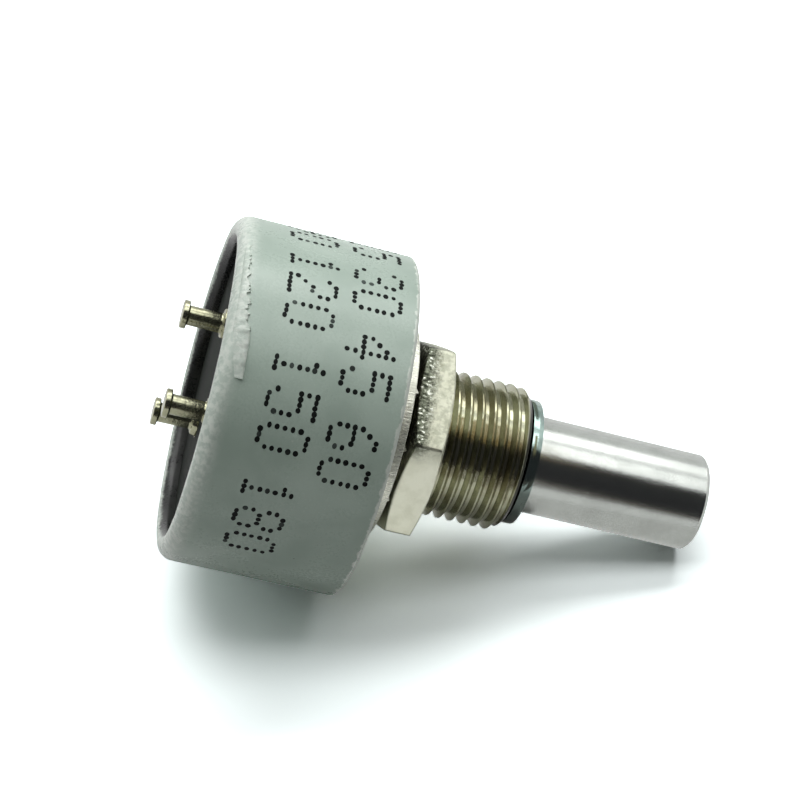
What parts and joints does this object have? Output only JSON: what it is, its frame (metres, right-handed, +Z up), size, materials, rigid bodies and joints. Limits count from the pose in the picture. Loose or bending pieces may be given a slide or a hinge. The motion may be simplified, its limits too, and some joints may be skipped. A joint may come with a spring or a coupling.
{
  "type": "conductive plastic potentiometer",
  "caption": "Panel-mount rotary potentiometer: round moulded case with turret terminals at the rear, threaded bushing with nut and lock washer, and a plain round shaft.",
  "frame": {"origin": "on the shaft's axis, at the mounting face, which is the front face of the case", "axes": "+X along the shaft, towards its tip; +Z up"},
  "size_m": [0.0356, 0.0222, 0.0222],
  "materials": {
    "case_moulding": "matte grey-green moulding",
    "cover_moulding": "matte dark moulding",
    "terminal_plate": "bright nickel plate",
    "bushing_plate": "warm nickel plate over brass",
    "nut_plate": "warm nickel plate over brass",
    "washer_steel": "plated spring steel",
    "shaft_steel": "ground stainless steel",
    "element_laminate": "moulded laminate",
    "carbon_ink": "conductive plastic",
    "silver_ink": "printed silver",
    "rotor_moulding": "moulded plastic",
    "carrier_bronze": "spring bronze",
    "brush_alloy": "precious metal alloy",
    "ring_steel": "passivated spring steel",
    "thrust_bronze": "bronze"
  },
  "bodies": {
    "housing": {"case": "case_moulding", "rear_cover": "cover_moulding", "terminal_1": "terminal_plate", "terminal_2": "terminal_plate", "terminal_3": "terminal_plate", "bushing": "bushing_plate", "element_base": "element_laminate", "resistive_track": "carbon_ink", "collector_ring": "silver_ink", "track_end_1": "silver_ink", "track_end_3": "silver_ink", "front_thrust_washer": "thrust_bronze", "rear_thrust_washer": "thrust_bronze"},
    "rotor_shaft": {"shaft": "shaft_steel", "rotor": "rotor_moulding", "wiper_carrier": "carrier_bronze", "track_brush": "brush_alloy", "collector_brush": "brush_alloy", "retaining_ring": "ring_steel"},
    "washer": {"lock_washer": "washer_steel"},
    "nut": {"mounting_nut": "nut_plate"}
  },
  "joints": [
    {"name": "shaft_turn", "type": "hinge", "parent": "housing", "child": "rotor_shaft", "pos_m": [0, 0, 0], "axis": [1, 0, 0], "continuous": true},
    {"name": "washer_slide", "type": "slide", "parent": "housing", "child": "washer", "axis": [1, 0, 0], "range_m": [0, 0.00556]},
    {"name": "nut_turn", "type": "hinge", "parent": "washer", "child": "nut", "pos_m": [0, 0, 0], "axis": [1, 0, 0], "range_deg": [0, 2520]}
  ],
  "couplings": [
    {"joint": "nut_turn", "follows": "washer_slide", "rad_per_m": 7915.8}
  ]
}
